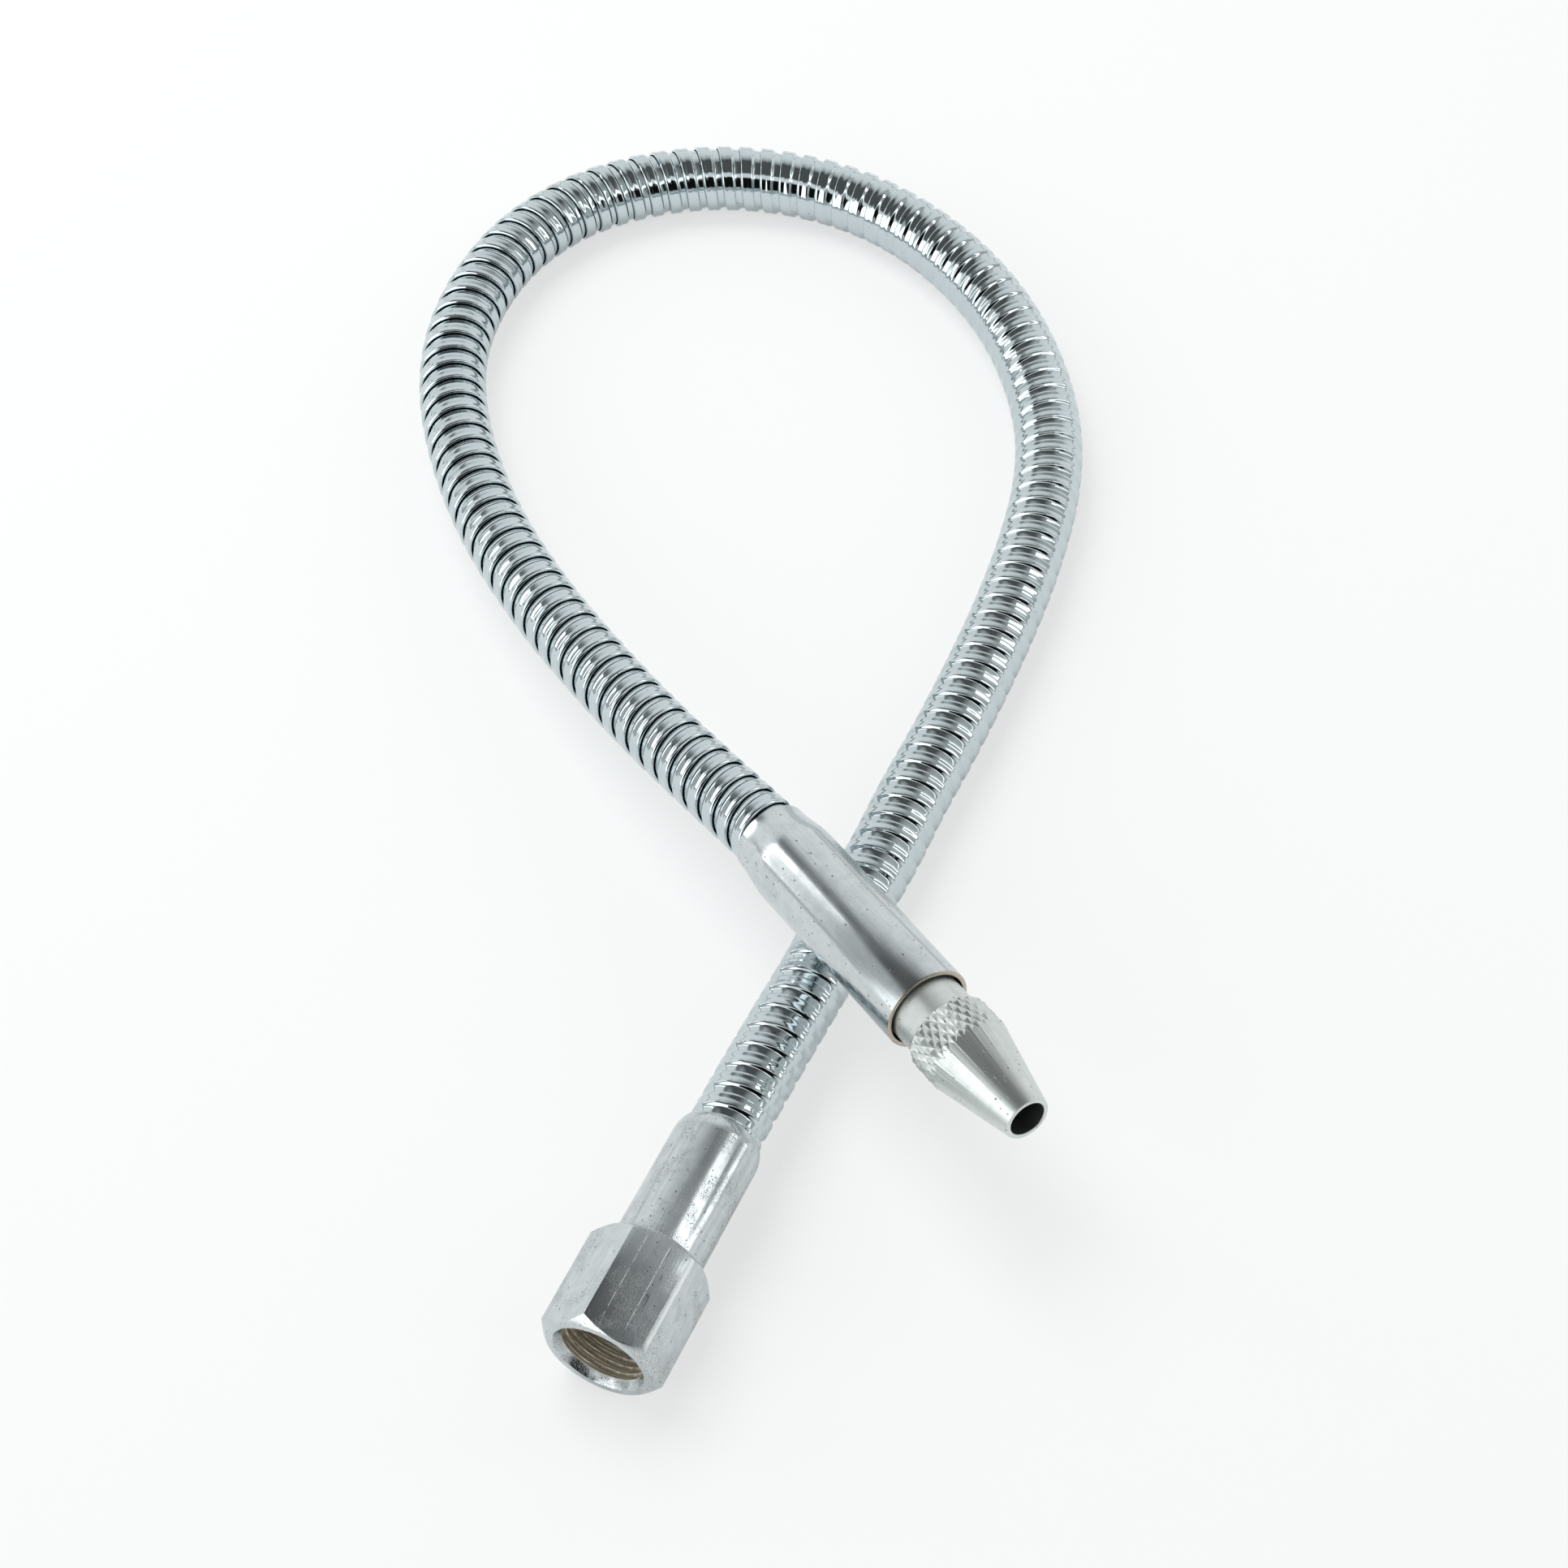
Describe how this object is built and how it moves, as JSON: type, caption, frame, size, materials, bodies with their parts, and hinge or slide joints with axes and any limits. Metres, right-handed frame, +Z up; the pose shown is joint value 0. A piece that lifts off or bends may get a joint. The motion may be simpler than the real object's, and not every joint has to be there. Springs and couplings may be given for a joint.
{
  "type": "flexible metal spray hose",
  "caption": "Self-supporting strip-wound metal hose in one loose loop, with a hexagonal female threaded inlet and a knurled conical jet nozzle.",
  "frame": {"origin": "centre of the inlet socket's open face", "axes": "+Y along the inlet from its open face into the hose, +Z up from the surface that the hose lies on, +X to the right of the inlet, where the nozzle points"},
  "size_m": [0.1964, 0.2807, 0.0389],
  "materials": {
    "plated_steel": "satin bright plating with fine pits",
    "washer_rubber": "matte",
    "brass": "turned",
    "armour_chrome": "bright plated strip",
    "liner_rubber": "matte",
    "plated_sleeve": "satin bright plating with fine pits",
    "seal_rubber": "matte",
    "nozzle_metal": "satin, knurled band"
  },
  "bodies": {
    "inlet": {"inlet_fitting": "plated_steel", "inlet_washer": "washer_rubber", "inlet_tail": "brass", "armour_inlet_run": "armour_chrome", "armour_bend": "armour_chrome", "liner_inlet_run": "liner_rubber", "liner_bend": "liner_rubber"},
    "outlet": {"armour_outlet_run": "armour_chrome", "liner_outlet_run": "liner_rubber", "outlet_sleeve": "plated_sleeve", "outlet_body": "brass"},
    "seal": {"nozzle_seal": "seal_rubber"},
    "nozzle": {"nozzle": "nozzle_metal"}
  },
  "joints": [
    {"name": "hose_swing", "type": "hinge", "parent": "inlet", "child": "outlet", "pos_m": [-0.0785, 0.274, -0.0044], "axis": [0, 0, -1], "range_deg": [0, 30], "deforming": ["armour_bend", "liner_bend"]},
    {"name": "nozzle_travel", "type": "slide", "parent": "outlet", "child": "seal", "axis": [0.8341, -0.5314, 0.1478], "range_m": [-0.005, 0.003]},
    {"name": "nozzle_turn", "type": "hinge", "parent": "seal", "child": "nozzle", "pos_m": [0.02968, 0.07307, 0.01873], "axis": [0.8341, -0.5314, 0.1478], "range_deg": [-1800, 1080]}
  ],
  "couplings": [
    {"joint": "nozzle_travel", "follows": "nozzle_turn", "m_per_rad": 0.00015915}
  ]
}
